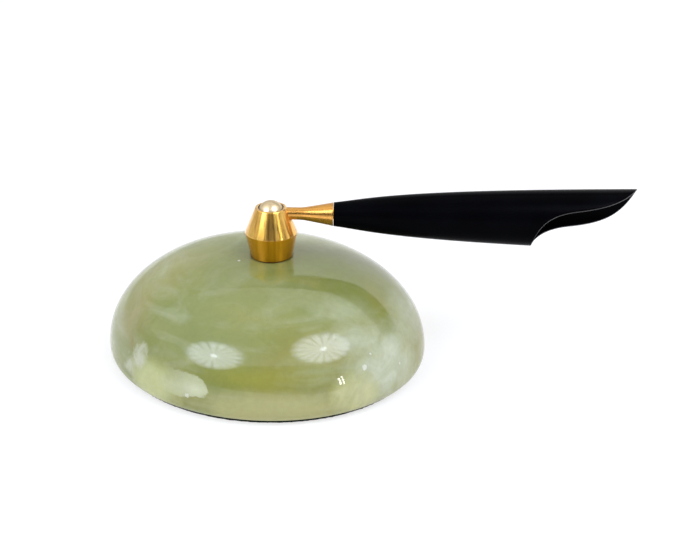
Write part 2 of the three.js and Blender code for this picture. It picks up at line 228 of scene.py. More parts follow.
def lathe(name, outline, segments, closed=False, matrix=Matrix.Identity(4), warp=None):
    """A turned piece. U runs round it in turns, and V along the outline in millimetres."""
    vertices, rings, lengths = [], [], [0.0]
    for i, (r, z) in enumerate(outline):
        if i:
            lengths.append(lengths[-1] + math.dist((r, z), outline[i - 1]))
        if r < 1e-6:
            rings.append([len(vertices)] * segments)
            vertices.append((0.0, 0.0, z))
            continue
        rings.append(list(range(len(vertices), len(vertices) + segments)))
        for j in range(segments):
            angle = 2 * math.pi * j / segments
            vertices.append((r * math.cos(angle), r * math.sin(angle), z))
    if warp:
        vertices = [warp(*v) for v in vertices]
    faces, uvs = [], []
    pairs = list(zip(range(len(rings) - 1), range(1, len(rings))))
    if closed:
        pairs.append((len(rings) - 1, 0))
        lengths.append(lengths[-1] + math.dist(outline[0], outline[-1]))
    for a, b in pairs:
        top = lengths[a + 1] if b == 0 else lengths[b]
        for j in range(segments):
            k = (j + 1) % segments
            quad = [(rings[a][j], j, lengths[a]), (rings[a][k], j + 1, lengths[a])]
            quad += [(rings[b][k], j + 1, top), (rings[b][j], j, top)]
            face, seen = [], set()
            for vertex, u, v in quad:
                if vertex in seen:
                    continue
                seen.add(vertex)
                face.append((vertex, (u / segments, v)))
            if len(face) < 3:
                continue
            faces.append([vertex for vertex, _ in face])
            uvs += [uv for _, uv in face]
    return add_piece(name, vertices, faces, uvs, matrix)


def cut_away(piece, tool):
    """Subtracts tool from piece and removes it."""
    modifier = piece.modifiers.new("cut", "BOOLEAN")
    modifier.object = tool
    modifier.operation = "DIFFERENCE"
    modifier.solver = "EXACT"
    evaluated = piece.evaluated_get(bpy.context.evaluated_depsgraph_get())
    mesh = bpy.data.meshes.new_from_object(evaluated)
    piece.modifiers.clear()
    piece.data = mesh
    bpy.data.objects.remove(tool)


# ---------------------------------------------------------------- node materials
class Material:
    """A node material with short ways to add nodes and to link them."""

    def __init__(self, name):
        self.material = bpy.data.materials.new(name)
        self.material.use_nodes = True
        self.nodes = self.material.node_tree.nodes
        self.links = self.material.node_tree.links
        self.shader = self.nodes["Principled BSDF"]

    def add(self, kind, settings=None, **inputs):
        """A node. settings are its attributes; inputs are values or sockets, spaces as _."""
        node = self.nodes.new(kind)
        for key, value in (settings or {}).items():
            setattr(node, key, value)
        for key, value in inputs.items():
            self.feed(node.inputs[key.replace("_", " ")], value)
        return node

    def feed(self, socket, value):
        if isinstance(value, bpy.types.NodeSocket):
            self.links.new(value, socket)
        else:
            socket.default_value = value

    def set(self, **inputs):
        """Values or sockets for the Principled shader."""
        for key, value in inputs.items():
            self.feed(self.shader.inputs[key.replace("_", " ")], value)

    def math(self, operation, a, b=0.0):
        node = self.add("ShaderNodeMath", {"operation": operation})
        self.feed(node.inputs[0], a)
        self.feed(node.inputs[1], b)
        return node.outputs[0]

    def place(self, scale=(1, 1, 1), source="Object", location=(0, 0, 0)):
        """Coordinates in millimetres times scale."""
        coords = self.add("ShaderNodeTexCoord").outputs[source]
        unit = 1.0 if source == "UV" else 1.0 / MM
        mapping = self.add("ShaderNodeMapping", Vector=coords, Location=location)
        mapping.inputs["Scale"].default_value = [unit * s for s in scale]
        return mapping.outputs["Vector"]

    def times(self, a, b):
        return self.math("MULTIPLY", a, b)

    def oval(self, centre, radii, rotation=(0, 0, 0)):
        """Coordinates in which the ellipsoid of these metres, turned by degrees, has radius 1."""
        coords = self.add("ShaderNodeTexCoord").outputs["Object"]
        mapping = self.add("ShaderNodeMapping", {"vector_type": "TEXTURE"}, Vector=coords)
        mapping.inputs["Location"].default_value = centre
        mapping.inputs["Rotation"].default_value = [math.radians(angle) for angle in rotation]
        mapping.inputs["Scale"].default_value = radii
        return mapping.outputs["Vector"]

    def length(self, vector):
        node = self.add("ShaderNodeVectorMath", {"operation": "LENGTH"})
        self.feed(node.inputs[0], vector)
        return node.outputs["Value"]

    def streaks(self, tilt, sizes):
        """Coordinates tilted by degrees about Y and then divided by sizes in millimetres."""
        return self.oval((0, 0, 0), [size * MM for size in sizes], (0, tilt, 0))

    def noise(self, vector, scale, detail=3.0, roughness=0.5, distortion=0.0):
        node = self.add(
            "ShaderNodeTexNoise",
            Vector=vector,
            Scale=scale,
            Detail=detail,
            Roughness=roughness,
            Distortion=distortion,
        )
        return node.outputs["Fac"]

    def ramp(self, factor, *stops, interpolation="LINEAR"):
        """A colour ramp. Each stop is (position, grey or colour)."""
        node = self.add("ShaderNodeValToRGB", Fac=factor)
        node.color_ramp.interpolation = interpolation
        elements = node.color_ramp.elements
        while len(elements) < len(stops):
            elements.new(0.5)
        for element, (position, value) in zip(elements, stops):
            element.position = position
            colour = (value,) * 3 if isinstance(value, (int, float)) else value
            element.color = (*colour, 1.0)
        return node.outputs["Color"]

    def mix(self, factor, a, b, blend="MIX"):
        node = self.add("ShaderNodeMix", {"data_type": "RGBA", "blend_type": blend})
        for index, value in ((0, factor), (6, a), (7, b)):
            if isinstance(value, tuple):
                value = (*value, 1.0)
            self.feed(node.inputs[index], value)
        return node.outputs[2]

    def bump(self, height, strength, distance, normal=None):
        """A bump from height. distance is in millimetres."""
        node = self.add("ShaderNodeBump", Height=height, Strength=strength)
        node.inputs["Distance"].default_value = distance * MM
        if normal is not None:
            self.feed(node.inputs["Normal"], normal)
        return node.outputs["Normal"]

    def blob(self, centre, radii, wander, scale, edge):
        """1 inside an ellipsoid whose surface wanders by noise, falling to 0 over edge."""
        length = self.length(self.oval([c * MM for c in centre], [r * MM for r in radii]))
        ripple = self.noise(self.place(), scale, 4.0, 0.6, 0.6)
        swing = self.times(self.math("SUBTRACT", ripple, 0.5), wander)
        return self.ramp(self.math("ADD", length, swing), (1.0 - edge, 1.0), (1.0, 0.0))


# ---------------------------------------------------------------- camera, floor and light
def studio():
    """The camera, the floor and the lamps and cards whose reflections the stone shows."""
    bpy.context.scene.camera = camera()
    bpy.context.scene.view_settings.view_transform = "Standard"
    bpy.context.scene.view_settings.look = "None"
    bpy.context.scene.world = room()

    floor = add_panel("floor", [(-2, -2, 0), (2, -2, 0), (2, 2, 0), (-2, 2, 0)])
    floor.data.materials.append(floor_material())
    umbrella("umbrella_left", -50.6, 42.0, (0.262, 0.205), 19.0)
    umbrella("umbrella_right", 51.5, 53.5, (0.278, 0.222), -4.0)
    corners = [(-4.2, SWEEP_Y), (3.8, SWEEP_Y), (3.8, 1.12), (-4.2, 1.12)]
    ceiling_glow(add_panel("ceiling", [(x, y, CEILING_Z) for x, y in corners]))
    walls()
    for upper, lower, width in STRIPS:
        strip = [towards(*upper), towards(*lower)]
        strip += [towards(lower[0] + width, lower[1]), towards(upper[0] + width, upper[1])]
        glow(add_panel("strip", [STRIP_DISTANCE * direction for direction in strip]), STRIP_LIGHT)


def camera():
    elevation = math.radians(VIEW_ELEVATION)
    back = Vector((0, -math.cos(elevation), math.sin(elevation)))
    viewer = bpy.data.objects.new("camera", bpy.data.cameras.new("camera"))
    viewer.data.lens = LENS
    viewer.data.sensor_width = 36.0
    viewer.data.clip_start = 0.01
    viewer.location = VIEW_TARGET + back * VIEW_DISTANCE
    viewer.rotation_mode = "QUATERNION"
    viewer.rotation_quaternion = (-back).to_track_quat("-Z", "Y")
    bpy.context.scene.collection.objects.link(viewer)
    return viewer


def walls():
    """Upright sheets round the set: a card with a sloping top behind, and low ones elsewhere."""
    slope = [(0.0, 0.6), (0.22, 0.575), (0.38, 0.51), (0.78, 0.465), (1.16, 0.42), (2.2, 0.3)]
    card = [(x, CARD_Y, z) for x, z in slope] + [(2.2, CARD_Y, 0.0), (0.0, CARD_Y, 0.0)]
    glow(add_panel("card", card), 1.0)
    wall = [(-1.3, 0.0), (0.0, 0.0), (0.0, WALL_Z), (-1.3, WALL_Z)]
    glow(add_panel("wall", [(x, CARD_Y, z) for x, z in wall]), 0.7)
    side = [(-1.8, -0.8, 0.0), (-1.3, CARD_Y, 0.0), (-1.3, CARD_Y, WALL_Z)]
    side += [(-1.36, 0.49, 0.66), (-1.8, -0.8, 0.62)]
    glow(add_panel("side_wall", side), 0.5)
    right = [(2.2, 0.95, 0.0), (2.5, -0.8, 0.0), (2.5, -0.8, 1.4), (2.2, 0.95, 1.4)]
    glow(add_panel("right_wall", right), 0.8)
    sweep = [(-1.66, 0.22), (-0.7, 0.19), (-0.1, 0.19), (0.49, 0.14), (1.28, 0.0), (-1.66, 0.0)]
    glow(add_panel("sweep", [(x, SWEEP_Y, z) for x, z in sweep]), 1.0)


def towards(azimuth, elevation):
    """A unit vector, from angles in degrees: azimuth runs from the camera's side to +X."""
    a, e = math.radians(azimuth), math.radians(elevation)
    return Vector((math.sin(a) * math.cos(e), -math.cos(a) * math.cos(e), math.sin(e)))


def room():
    """A dim room that lights the object, with a white backdrop beyond the floor."""
    world = bpy.data.worlds.new("room")
    world.use_nodes = True
    nodes, links = world.node_tree.nodes, world.node_tree.links
    dim = nodes["Background"]
    dim.inputs["Color"].default_value = (0.9, 0.95, 1.0, 1.0)
    dim.inputs["Strength"].default_value = ROOM_LIGHT
    backdrop = nodes.new("ShaderNodeBackground")
    backdrop.inputs["Color"].default_value = (1.0, 1.0, 1.0, 1.0)
    choose = nodes.new("ShaderNodeMixShader")
    links.new(nodes.new("ShaderNodeLightPath").outputs["Is Camera Ray"], choose.inputs[0])
    links.new(dim.outputs[0], choose.inputs[1])
    links.new(backdrop.outputs[0], choose.inputs[2])
    links.new(choose.outputs[0], nodes["World Output"].inputs["Surface"])
    return world


def add_panel(name, corners):
    """A flat sheet of the stage, from its corners in metres."""
    mesh = bpy.data.meshes.new(name)
    mesh.from_pydata(corners, [], [tuple(range(len(corners)))])
    panel = bpy.data.objects.new(name, mesh)
    bpy.context.scene.collection.objects.link(panel)
    return panel


def floor_material():
    """Matte white. From below it lets the camera through, so that the underside can be seen."""
    m = Material("floor")
    m.set(Base_Color=(0.33, 0.33, 0.33, 1.0), Roughness=0.9, Specular_IOR_Level=0.2)
    m.set(Emission_Color=(1, 1, 1, 1), Emission_Strength=FLOOR_GLOW)
    clear = m.add("ShaderNodeBsdfTransparent")
    behind = m.add("ShaderNodeNewGeometry").outputs["Backfacing"]
    seen = m.add("ShaderNodeLightPath").outputs["Is Camera Ray"]
    choose = m.add("ShaderNodeMixShader", Fac=m.math("MULTIPLY", behind, seen))
    m.feed(choose.inputs[1], m.shader.outputs[0])
    m.feed(choose.inputs[2], clear.outputs[0])
    m.feed(m.nodes["Material Output"].inputs["Surface"], choose.outputs[0])
    return m.material


def glow(panel, strength, m=None, light=(1, 1, 1, 1)):
    """Makes a stage panel a soft light that the camera itself does not see."""
    m = m or Material(panel.name)
    m.set(Base_Color=(0, 0, 0, 1), Emission_Color=light, Emission_Strength=strength)
    panel.data.materials.append(m.material)
    panel.visible_camera = False


def ceiling_glow(panel):
    """Lights the ceiling panel, which is dimmer over the middle of the set."""
    m = Material(panel.name)
    reach = m.length(m.oval((0.1, -0.55, CEILING_Z), (0.62, 1.15, 1.0)))
    light = m.ramp(reach, (0.15, 0.3), (1.0, 1.0), interpolation="EASE")
    glow(panel, CEILING_LIGHT, m, light)


def umbrella(name, azimuth, elevation, radii, tilt):
    """An oval white umbrella that faces the object, dimmer at its edge and along its ribs."""
    away = towards(azimuth, elevation)
    turn = away.to_track_quat("Z", "Y") @ Quaternion((0, 0, 1), math.radians(tilt))
    sides = 64
    rim = []
    for i in range(sides):
        angle = 2 * math.pi * i / sides
        rim.append((radii[0] * math.cos(angle), radii[1] * math.sin(angle), 0.0))
    disc = add_panel(name, rim)
    disc.location = away * UMBRELLA_DISTANCE
    disc.rotation_mode = "QUATERNION"
    disc.rotation_quaternion = turn

    m = Material(name)
    oval = m.oval((0, 0, 0), (*radii, 1.0))
    stops = ((0.0, 1.0), (0.05, 1.0), (0.15, 0.5), (0.72, 0.42), (1.0, 0.06))
    fade = m.ramp(m.length(oval), *stops)
    spokes = m.add("ShaderNodeTexGradient", {"gradient_type": "RADIAL"}, Vector=oval)
    rib = m.math("PINGPONG", m.times(spokes.outputs["Fac"], UMBRELLA_RIBS), 0.5)
    panels = m.ramp(rib, (0.0, 0.55), (0.25, 1.0))
    light = m.mix(1.0, m.mix(1.0, fade, panels, "MULTIPLY"), (0.86, 0.91, 1.08), "MULTIPLY")
    glow(disc, UMBRELLA_LIGHT, m, light)


# ---------------------------------------------------------------- materials of the object
# Zones of colour on the stone, some carrying painted reflection as marked: (centre, radii), how its
# edge wanders (height, scale), how softly it ends (share of the radius), how strongly it shows, and
# its colour. Later ones lie over earlier ones.
DEEP = ((12, -4, 34), (46, 30, 13), 0.5, 0.03, 0.9), 0.85, (0.150, 0.176, 0.046)
OLIVE = ((-4, -50, 15), (30, 10, 4.5), 0.5, 0.05, 0.8), 0.7, (0.300, 0.290, 0.044)
BROWN = ((-43, -14, 19), (9, 14, 11), 0.9, 0.07, 0.9), 0.5, (0.300, 0.250, 0.100)
# A lighter band round the dome's lower front: painted reflection of the bright floor.
FLOOR_REFLECTION_BAND = ((2, -52, 5), (36, 14, 8.5), 0.5, 0.06, 0.5), 0.8, (0.400, 0.385, 0.160)
# The milky zone on the right: the stone's milky streaks, brightened as a painted reflection of the
# bright right side of the room.
MILK_AND_REFLECTION = ((37, -34, 13), (19, 20, 15), 0.6, 0.08, 0.7), 0.95, (0.515, 0.550, 0.415)
CLOUD = ((23, -25, 27), (15, 9, 6), 1.0, 0.1, 0.9), 0.5, (0.40, 0.44, 0.29)
SHOULDER = ((42, -12, 20), (8, 15, 10), 0.7, 0.08, 0.8), 0.6, (0.40, 0.44, 0.29)
YELLOW = ((27, -43, 7.5), (10, 10, 8), 0.6, 0.1, 0.5), 1.0, (0.50, 0.50, 0.25)
STREAK = ((26, -34, 23), (12, 7, 5), 1.2, 0.12, 0.9), 0.45, (0.52, 0.55, 0.43)
POOL = ((-36, -35, 7.5), (14, 13, 9), 0.6, 0.09, 0.6), 0.85, (0.47, 0.49, 0.225)
TONGUE = ((-28.5, -41, 10.3), (12.5, 9, 4.2), 1.5, 0.14, 0.12), 0.95, (0.545, 0.575, 0.385)
TONGUE_FADE = (-21, -43, 10), (16, 12, 9), 0.3, 0.1, 1.0
FLAKES = [
    (((-39.5, -27, 13), (3.2, 5, 5), 1.8, 0.25, 0.6), 0.75, (0.50, 0.51, 0.38)),
    (((-43.5, -26, 8.5), (3, 5, 4.5), 1.8, 0.25, 0.6), 0.6, (0.50, 0.51, 0.38)),
]
CRACK = ((-42.6, -22, 15), (0.9, 2.5, 3.5), 2.0, 0.3, 0.9), 0.5, (0.27, 0.18, 0.08)
# (place, radius) of the small chips in the polish
CHIPS = [
    ((-9.8, -47.0, 12.9), 0.6),
    ((-13.9, -46.1, 12.4), 0.35),
    ((30.9, -34.5, 17.3), 0.6),
    ((29.1, -38.1, 14.6), 1.2),
    ((-24.4, -42.8, 7.3), 1.1),
    ((40.0, -28.3, 10.9), 0.5),
    ((-15.7, -46.7, 7.7), 0.4),
    ((-10.1, -4.4, 34.7), 0.5),
]


def zone(m, colour, spec, pattern=None):
    """Lays a zone over colour, where pattern, if given, lets it through."""
    shape, strength, tint = spec
    share = m.times(m.blob(*shape), strength)
    if pattern is not None:
        share = m.times(share, pattern)
    return m.mix(share, colour, tint)


def onyx_colour(m):
    slow = m.noise(m.place((1.0, 1.2, 2.4)), 0.02, 3.0, 0.5, 0.6)
    colour = m.ramp(
        slow,
        (0.34, (0.196, 0.228, 0.064)),
        (0.48, (0.228, 0.246, 0.071)),
        (0.60, (0.250, 0.248, 0.066)),
        (0.74, (0.300, 0.310, 0.122)),
    )
    veils = m.noise(m.place((0.8, 0.8, 2.6)), 0.06, 5.0, 0.55, 1.0)
    colour = m.mix(m.ramp(veils, (0.45, 0.0), (0.8, 0.6)), colour, (0.37, 0.40, 0.25))
    for spec in (DEEP, OLIVE, BROWN, FLOOR_REFLECTION_BAND):
        colour = zone(m, colour, spec)
    # Tilted streaks that let the milky zone through: milky stone, partly painted reflection.
    milk_and_reflection_streaks = m.noise(m.streaks(38, (7.0, 12.0, 20.0)), 1.0, 5.0, 0.55, 1.0)
    colour = zone(m, colour, MILK_AND_REFLECTION, m.ramp(milk_and_reflection_streaks, (0.34, 0.6), (0.62, 1.0)))
    for spec in (CLOUD, SHOULDER):
        colour = zone(m, colour, spec)
    bands = m.noise(m.streaks(32, (2.6, 9.0, 16.0)), 1.0, 2.0, 0.5, 0.6)
    colour = zone(m, colour, YELLOW, m.ramp(bands, (0.36, 0.55), (0.6, 0.9)))
    for spec in (STREAK, POOL):
        colour = zone(m, colour, spec)
    colour = zone(m, colour, TONGUE, m.blob(*TONGUE_FADE))
    for spec in (*FLAKES, CRACK):
        colour = zone(m, colour, spec)
    return colour


def onyx_material():
    m = Material("polished_green_onyx")
    place = m.place()
    fine = m.noise(place, 0.5, 6.0, 0.65, 0.5)
    speckle = m.ramp(fine, (0.35, 0.95), (0.65, 1.04))
    colour = m.mix(1.0, onyx_colour(m), speckle, "MULTIPLY")
    depth = None
    for centre, radius in CHIPS:
        chip = m.blob(centre, (radius,) * 3, 1.0, 0.9, 0.3)
        colour = m.mix(m.times(chip, 0.6), colour, (0.70, 0.72, 0.60))
        depth = chip if depth is None else m.math("MAXIMUM", depth, chip)

    smear = m.noise(m.place(location=(3.0, 7.0, 1.0)), 0.12, 4.0, 0.6)
    m.set(Base_Color=colour, Roughness=m.ramp(smear, (0.35, 0.02), (0.7, 0.045)))
    m.set(Subsurface_Weight=0.35, Subsurface_Scale=0.008)
    m.set(Subsurface_Radius=(0.9, 1.0, 0.45), IOR=1.55)
    waver = m.bump(m.noise(place, 0.09, 2.0), 0.05, 0.8)
    m.set(Normal=m.bump(m.math("SUBTRACT", 1.0, depth), 0.8, 0.3, waver))
    return m.material


def felt_material():
    m = Material("dark_green_felt")
    fibres = m.noise(m.place(), 2.4, 8.0, 0.75, 1.5)
    tufts = m.noise(m.place(location=(5.0, 2.0, 9.0)), 0.35, 4.0, 0.6)
    colour = m.ramp(fibres, (0.3, (0.004, 0.009, 0.003)), (0.7, (0.022, 0.036, 0.014)))
    colour = m.mix(0.5, colour, m.ramp(tufts, (0.3, 0.35), (0.7, 1.0)), "MULTIPLY")
    m.set(Base_Color=colour, Roughness=0.95, Specular_IOR_Level=0.1)
    m.set(Sheen_Weight=0.06, Sheen_Roughness=0.5, Sheen_Tint=(0.35, 0.5, 0.35, 1.0))
    m.set(Normal=m.bump(fibres, 0.9, 0.35))
    return m.material


def turned_metal(
    name, colour, tarnish, roughness, grooves, anisotropy=0.0, source="UV", lacquer=0.0, glint_and_wear=0.8
):
    """Lathe-turned metal. On a UV map V runs along the axis, so grooves follow U.

    The last argument sets how strongly streaks along the axis darken and lighten the colour: partly
    wear, partly painted reflection streaks.
    """
    m = Material(name)
    along = m.place((0.6, 1.0, 1.0), source) if source == "UV" else m.place((0.05, 0.05, 1.0))
    lines = m.noise(along, 9.0, 3.0, 0.7)
    stain = m.noise(m.place(), 0.35, 5.0, 0.6)
    shade_of = m.mix(m.ramp(stain, (0.42, 0.0), (0.78, 0.6)), colour, tarnish)
    shade_of = m.mix(0.5, shade_of, m.ramp(lines, (0.35, 0.6), (0.6, 1.05)), "MULTIPLY")
    if source == "UV":
        # Streaks along the axis that darken and lighten the metal: partly wear, partly painted
        # reflection streaks.
        glint_and_wear_noise = m.noise(m.place((60.0, 0.1, 1.0), "UV"), 1.0, 4.0, 0.65)
        glint_and_wear_streaks = m.ramp(glint_and_wear_noise, (0.34, (0.50, 0.38, 0.24)), (0.56, (1.12, 1.12, 1.08)))
        shade_of = m.mix(glint_and_wear, shade_of, glint_and_wear_streaks, "MULTIPLY")
    low, high = roughness
    m.set(Base_Color=shade_of, Metallic=1.0, Roughness=m.ramp(stain, (0.3, low), (0.7, high)))
    grit = m.noise(m.place(), 5.0, 3.0, 0.6)
    m.set(Normal=m.bump(lines, grooves, 0.02, m.bump(grit, grooves, 0.012)))
    m.set(Coat_Weight=lacquer, Coat_Roughness=0.16, Coat_IOR=1.5)
    if anisotropy:
        m.set(Anisotropic=anisotropy, Anisotropic_Rotation=0.25)
        tangent = m.add("ShaderNodeTangent", {"direction_type": "UV_MAP", "uv_map": "UVMap"})
        m.set(Tangent=tangent.outputs[0])
    return m.material


def trumpet_material():
    m = Material("black_moulded_plastic")
    cloud = m.noise(m.place(), 0.08, 3.0, 0.5)
    hairlines = m.noise(m.place((3.0, 0.12, 1.0), "UV"), 14.0, 4.0, 0.6)
    colour = m.ramp(cloud, (0.3, (0.0010, 0.0010, 0.0014)), (0.7, (0.0018, 0.0019, 0.0026)))
    m.set(Base_Color=colour, Roughness=m.ramp(hairlines, (0.3, 0.2), (0.75, 0.3)))
    m.set(Normal=m.bump(m.noise(m.place(), 0.22, 2.0), 0.05, 0.3), IOR=1.06)
    return m.material


def plain_material(name, dark, light, roughness, scale, bump, metallic=0.0):
    """Cloudy colour and a fine surface, for the small pieces inside and for the painted shade in the
    cap's slot and mouth.
    """
    m = Material(name)
    cloud = m.noise(m.place(), scale, 5.0, 0.6)
    grain = m.noise(m.place(location=(1.0, 4.0, 2.0)), scale * 9.0, 4.0, 0.7)
    m.set(Base_Color=m.ramp(cloud, (0.3, dark), (0.7, light)), Metallic=metallic)
    m.set(Roughness=m.ramp(grain, (0.3, roughness * 0.8), (0.7, roughness * 1.25)))
    m.set(Normal=m.bump(grain, bump, 0.03))
    return m.material


# ---------------------------------------------------------------- the stone and its felt
def smooth_step(value, low, high):
    """0 up to low, 1 from high on, and a smooth rise between them."""
    t = min(max((value - low) / (high - low), 0.0), 1.0)
    return t * t * (3 - 2 * t)


def hand_cut(x, y, z):
    """Shifts the stone off its hole, slews its outline and gives the dome a slight waver."""
    place = Vector((x + STONE_OFFSET_X + STONE_SLEW * y, y + STONE_OFFSET_Y, z))
    outward = Vector((x, y, max(z - WIDEST_Z, 0.0) * 1.6))
    share = smooth_step(z, WIDEST_Z, 14.0) * smooth_step(math.hypot(x, y), 9.0, 20.0)
    if share > 0.0:
        waver = noise.noise(Vector((x, y, z)) / 26.0) * STONE_WAVER * share
        place += outward.normalized() * waver
    return tuple(place)


def onyx_dome():
    """The stone: a turned dome on a tucked-in skirt, drilled from below for its clamp."""
    skirt_steps = 18
    skirt = [(0.0, STONE_BOTTOM_Z)] + [(12.0 * i, STONE_BOTTOM_Z) for i in range(1, 4)]
    for i in range(skirt_steps):
        angle = math.pi / 2 * i / skirt_steps
        r = STONE_FOOT_RADIUS + (STONE_RADIUS - STONE_FOOT_RADIUS) * math.sin(angle)
        skirt.append((r, WIDEST_Z - (WIDEST_Z - STONE_BOTTOM_Z) * math.cos(angle)))
    steps = 120
    dome = []
    for i in range(steps):
        angle = math.pi / 2 * i / steps
        r = STONE_RADIUS * math.cos(angle) ** (2 / DOME_OUT_POWER)
        rise = (CROWN_Z - WIDEST_Z) * math.sin(angle) ** (2 / DOME_UP_POWER)
        dome.append((r, WIDEST_Z + rise))
    dome.append((0.0, CROWN_Z))
    stone = lathe("onyx_dome", skirt + dome, STONE_TURNING, warp=hand_cut)
    drill = [
        (0.0, -1.0),
        (RECESS_RADIUS, -1.0),
        (RECESS_RADIUS, RECESS_CEILING_Z),
        (STONE_HOLE_RADIUS, RECESS_CEILING_Z),
        (STONE_HOLE_RADIUS, SEAT_Z),
        (SEAT_RADIUS, SEAT_Z),
        (SEAT_RADIUS, CROWN_Z + 1.0),
        (0.0, CROWN_Z + 1.0),
    ]
    cut_away(stone, lathe("stone_drill", drill, SMALL_TURNING))
    shade(stone.data, 30.0)
    return stone


def ragged(x, y, z):
    """Moves the felt with the stone, and roughens its cut edge and its side."""
    radius = math.hypot(x, y)
    edge = smooth_step(radius, FELT_RADIUS - 1.5, FELT_RADIUS)
    pull = 1.0 + edge * 0.22 * noise.noise(Vector((x, y, z * 4.0)) / 1.1) / FELT_RADIUS
    lift = 0.0
    if 0.02 < z < FELT_TOP_Z - 0.02:
        lift = 0.12 * noise.noise(Vector((x, y, z)) / 0.8)
    return (x * pull + STONE_OFFSET_X + STONE_SLEW * y, y * pull + STONE_OFFSET_Y, z + lift)


def felt_disc():
    """The felt, with its side in enough rings to take a ragged cut."""
    radii = [4.0 * i for i in range(1, 12)] + [46.0]
    under = [(0, 0.0)] + [(r, 0.0) for r in radii]
    over = [(r, FELT_TOP_Z) for r in reversed(radii)] + [(0, FELT_TOP_Z)]
    edge = [(radii[-1], 0.0), (FELT_RADIUS, 0.0, 0.2), (FELT_RADIUS, FELT_TOP_Z, 0.2)]
    edge = rounded(edge + [(radii[-1], FELT_TOP_Z)])
    side = []
    for a, b in zip(edge[1:-1], edge[2:-1]):
        side.append(a)
        if math.dist(a, b) > 0.3:
            side += [(a[0], a[1] + (b[1] - a[1]) * i / 4) for i in range(1, 4)]
    side.append(edge[-2])
    return lathe("felt_disc", under + side + over, FELT_TURNING, warp=ragged)


# ---------------------------------------------------------------- the brass socket
def brass_foot():
    """The socket's lower half, from just above its gasket to the seam in the ridge."""
    seam = SEAM_Z - SEAM_GAP
    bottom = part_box("foot_gasket")[1].z / MM + SEAM_GAP
    outline = [
        (FOOT_RADIUS, bottom, 0.18),
        (FOOT_RADIUS + 0.06, bottom + 0.9),
        (RIDGE_RADIUS, SEAM_Z - RIDGE_BAND / 2, 0.12),
        (RIDGE_RADIUS, seam, 0.02),
        (NECK_RADIUS, seam),
        (NECK_RADIUS, NECK_TOP_Z, 0.2),
        (SPRING_BORE, NECK_TOP_Z, 0.1),
        (SPRING_BORE, SPRING_FLOOR_Z),
        (STUD_BORE, SPRING_FLOOR_Z),
        (STUD_BORE, bottom),
    ]
    return lathe("brass_socket_foot", rounded(outline, closed=True), FINE_TURNING, closed=True)


def brass_cap():
    """The socket's upper half, turned inside and out and then slotted for the stem."""
    seat_radius = BALL_RADIUS + SEAT_CLEARANCE
    mouth = math.acos(MOUTH_RADIUS / seat_radius)
    neck = NECK_RADIUS + SEAT_CLEARANCE
    step_z = NECK_TOP_Z + SEAT_CLEARANCE
    shell = rounded(
        [
            (neck, SEAM_Z),
            (RIDGE_RADIUS, SEAM_Z, 0.02),
            (RIDGE_RADIUS, SEAM_Z + RIDGE_BAND / 2, 0.12),
            (RIM_RADIUS, RIM_Z, 0.3),
            (MOUTH_RADIUS + 0.35, RIM_Z, 0.12),
            (MOUTH_RADIUS, BALL_Z + seat_radius * math.sin(mouth)),
        ]
    )
    seat = arc(seat_radius, BALL_Z, mouth, mouth * 0.3, 10)[1:]
    bore = seat_radius + 0.05
    inside = [(bore, BALL_Z), (bore, step_z), (neck, step_z)]
    cap = lathe("brass_socket_cap", shell + seat + inside, FINE_TURNING, closed=True)
    cut_away(cap, slot_tool())
    shade(cap.data, 25.0)
    return cap


def shade_slot(cap, material):
    """Gives the cap's slot and the inside of its mouth a second, near-black material: painted shade
    in the slot and in the gap round the ball.
    """
    cap.data.materials.append(material)
    half = SLOT_WIDTH / 2
    for face in cap.data.polygons:
        x, y, z = face.center / MM
        below = min(z - SLOT_FLOOR_Z - half, 0.0)
        on_slot = x > 1.0 and abs(math.hypot(y, below) - half) < 0.06
        on_lip = z > BALL_Z and math.hypot(x, y) < MOUTH_RADIUS + 0.25 and z < RIM_Z - 0.02
        if on_slot or on_lip:
            face.material_index = 1


def slot_tool():
    """A bar with a round underside, which cuts the slot that the stem lies in."""
    half = SLOT_WIDTH / 2
    section = [(half, RIM_Z + 1), (-half, RIM_Z + 1)]
    steps = 24
    for i in range(steps + 1):
        angle = math.pi + math.pi * i / steps
        section.append((half * math.cos(angle), SLOT_FLOOR_Z + half + half * math.sin(angle)))
    count = len(section)
    reach = RIDGE_RADIUS + 1
    vertices = [(x, y, z) for x in (0.0, reach) for y, z in section]
    faces = [tuple(range(count)), tuple(range(2 * count - 1, count - 1, -1))]
    faces += [(i, i + count, (i + 1) % count + count, (i + 1) % count) for i in range(count)]
    corners = sum(len(face) for face in faces)
    return add_piece("slot_tool", vertices, faces, [(0.0, 0.0)] * corners)


# ---------------------------------------------------------------- the ball, stem and trumpet
def polished_ball():
    """The ball, with a flat and a tapped hole where the stem enters it."""
    flat_radius = math.sqrt(BALL_RADIUS**2 - BALL_FLAT**2)
    flat_angle = math.asin(BALL_FLAT / BALL_RADIUS)
    sphere = arc(BALL_RADIUS, 0.0, -math.pi / 2, flat_angle, 72)
    sphere[0] = (0.0, -BALL_RADIUS)
    end = rounded(
        [
            sphere[-2],
            (flat_radius, BALL_FLAT, 0.08),
            (BALL_HOLE, BALL_FLAT),
            (BALL_HOLE, BALL_HOLE_FLOOR),
            (0.0, BALL_HOLE_FLOOR),
        ]
    )
    return lathe("polished_ball", sphere[:-1] + end[1:], SMALL_TURNING, matrix=HOLDER)


